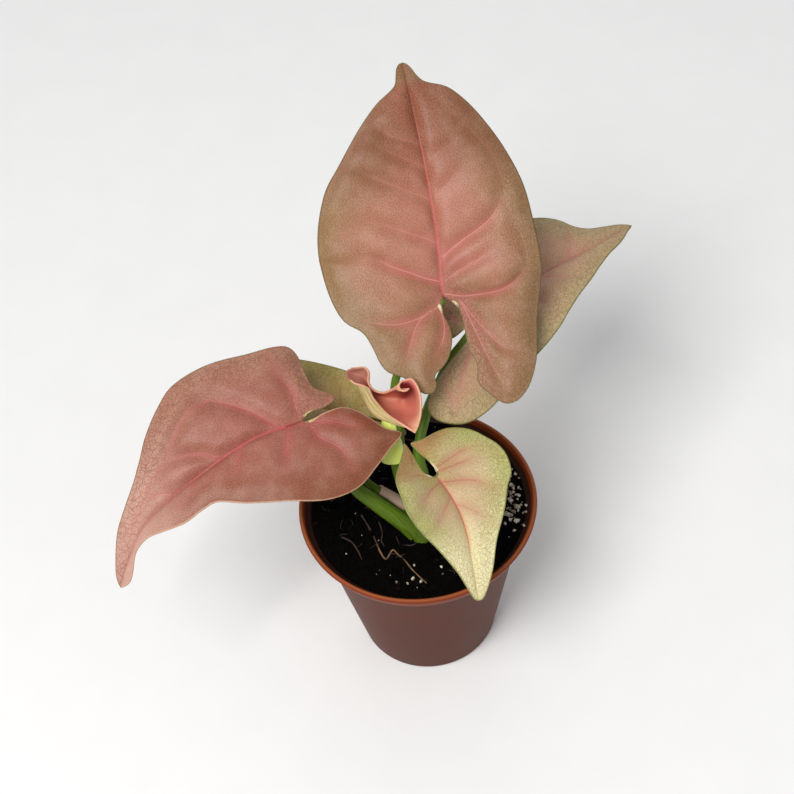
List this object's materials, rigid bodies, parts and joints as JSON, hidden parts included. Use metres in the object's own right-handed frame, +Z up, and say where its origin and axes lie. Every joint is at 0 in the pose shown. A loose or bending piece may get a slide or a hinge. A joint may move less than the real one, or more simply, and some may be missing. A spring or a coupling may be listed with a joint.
{
  "type": "arrowhead plant in a nursery pot",
  "caption": "Young arrowhead plant with blush and cream arrow-shaped leaves on green stalks, growing in peat in a small round nursery pot.",
  "frame": {"origin": "centre of the pot's flat underside", "axes": "+Z up along the pot's axis, -Y towards the front, where the cream leaf hangs over the rim, and +X to the plant's right as seen from the front"},
  "size_m": [0.1382, 0.1002, 0.1374],
  "materials": {
    "leaf_rose": "satin, with raised veins and a fine net",
    "leaf_olive": "satin, with raised veins and a fine net",
    "leaf_coral": "satin, thin and half rolled",
    "leaf_cream": "satin, with a strong fine net of veins",
    "leaf_stalk": "smooth, satin",
    "fresh_sheath": "smooth, thin",
    "dry_sheath": "dry and papery",
    "peat": "loose, rough, with white perlite grains",
    "pot_plastic": "thin moulded plastic, slightly see-through"
  },
  "bodies": {
    "root": {"blade_tall": "leaf_rose", "blade_back": "leaf_olive", "blade_young": "leaf_coral", "blade_left": "leaf_rose", "blade_front": "leaf_cream", "blade_under": "leaf_olive", "petiole_left": "leaf_stalk", "petiole_tall": "leaf_stalk", "petiole_back": "leaf_stalk", "petiole_front": "leaf_stalk", "petiole_young": "leaf_stalk", "petiole_under": "leaf_stalk", "crown": "leaf_stalk", "sheath_fresh": "fresh_sheath", "sheath_dry": "dry_sheath", "soil": "peat", "pot": "pot_plastic"}
  },
  "joints": []
}
